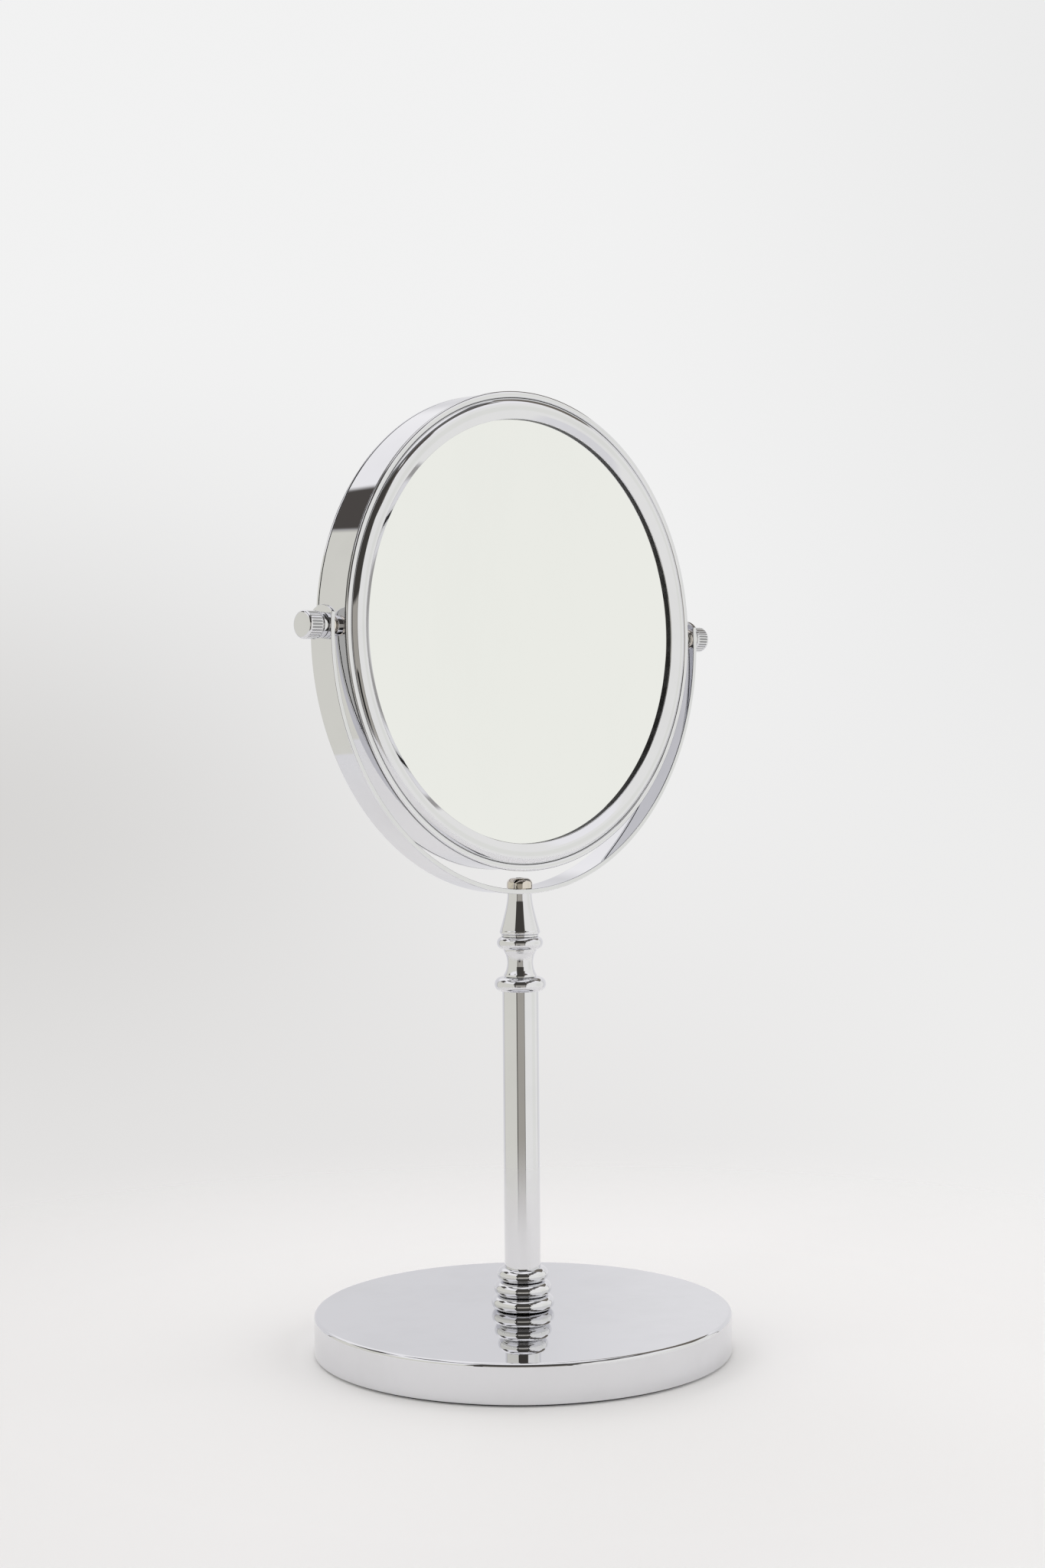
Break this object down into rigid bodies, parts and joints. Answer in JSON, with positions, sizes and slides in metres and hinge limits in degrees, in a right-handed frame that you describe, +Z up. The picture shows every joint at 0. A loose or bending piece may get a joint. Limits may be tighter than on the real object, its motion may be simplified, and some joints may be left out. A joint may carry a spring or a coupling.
{
  "type": "extendable shaving mirror",
  "caption": "Round double-sided pedestal mirror that tilts in a bent yoke, on a telescopic stem with turned rings and a weighted round base.",
  "frame": {"origin": "centre of the underside of the base", "axes": "+Z up along the stem; X along the pivot axis of the mirror; the plain glass faces -Y"},
  "size_m": [0.1984, 0.15, 0.3426],
  "materials": {
    "polished_chrome": "mirror polished plating",
    "silvered_glass": "silvered float glass",
    "cast_iron": "rough casting",
    "zinc_steel": "zinc plated, dull",
    "white_nylon": "natural nylon",
    "black_foam": "closed-cell foam",
    "fibreboard": "pressed board"
  },
  "bodies": {
    "stand": {"base_cover": "polished_chrome", "base_weight": "cast_iron", "base_pad": "black_foam", "base_bolt": "zinc_steel", "lock_washer": "zinc_steel", "flat_washer": "zinc_steel", "foot_rings": "polished_chrome", "stem_tube": "polished_chrome", "tube_plug": "zinc_steel", "tube_collar": "polished_chrome", "guide_bush": "white_nylon"},
    "slider": {"friction_sleeve": "white_nylon"},
    "mast": {"inner_rod": "polished_chrome", "rod_foot_plug": "zinc_steel", "sleeve_retainer": "zinc_steel", "rod_end_screw": "zinc_steel", "neck_finial": "polished_chrome", "cone_cap": "polished_chrome", "yoke": "polished_chrome", "yoke_screw": "polished_chrome"},
    "mirror_head": {"frame_band": "polished_chrome", "front_bezel": "polished_chrome", "rear_bezel": "polished_chrome", "plain_mirror": "silvered_glass", "magnifying_mirror": "silvered_glass", "backing_board": "fibreboard", "foam_ring": "black_foam", "left_boss": "polished_chrome", "right_boss": "polished_chrome", "left_spacer": "polished_chrome", "right_spacer": "polished_chrome", "left_washer": "white_nylon", "right_washer": "white_nylon", "left_stud": "zinc_steel", "right_stud": "zinc_steel"},
    "left_clamp": {"left_knob": "polished_chrome"},
    "right_clamp": {"right_knob": "polished_chrome"}
  },
  "joints": [
    {"name": "height", "type": "slide", "parent": "stand", "child": "slider", "axis": [0, 0, 1], "range_m": [0, 0.065]},
    {"name": "swivel", "type": "hinge", "parent": "slider", "child": "mast", "pos_m": [0, 0, 0.14], "axis": [0, 0, 1], "continuous": true},
    {"name": "tilt", "type": "hinge", "parent": "mast", "child": "mirror_head", "pos_m": [0, 0, 0.2574], "axis": [1, 0, 0], "continuous": true},
    {"name": "left_knob_turn", "type": "hinge", "parent": "mirror_head", "child": "left_clamp", "pos_m": [-0.095, 0, 0.2574], "axis": [-1, 0, 0], "range_deg": [0, 360]},
    {"name": "right_knob_turn", "type": "hinge", "parent": "mirror_head", "child": "right_clamp", "pos_m": [0.095, 0, 0.2574], "axis": [1, 0, 0], "range_deg": [0, 360]}
  ]
}
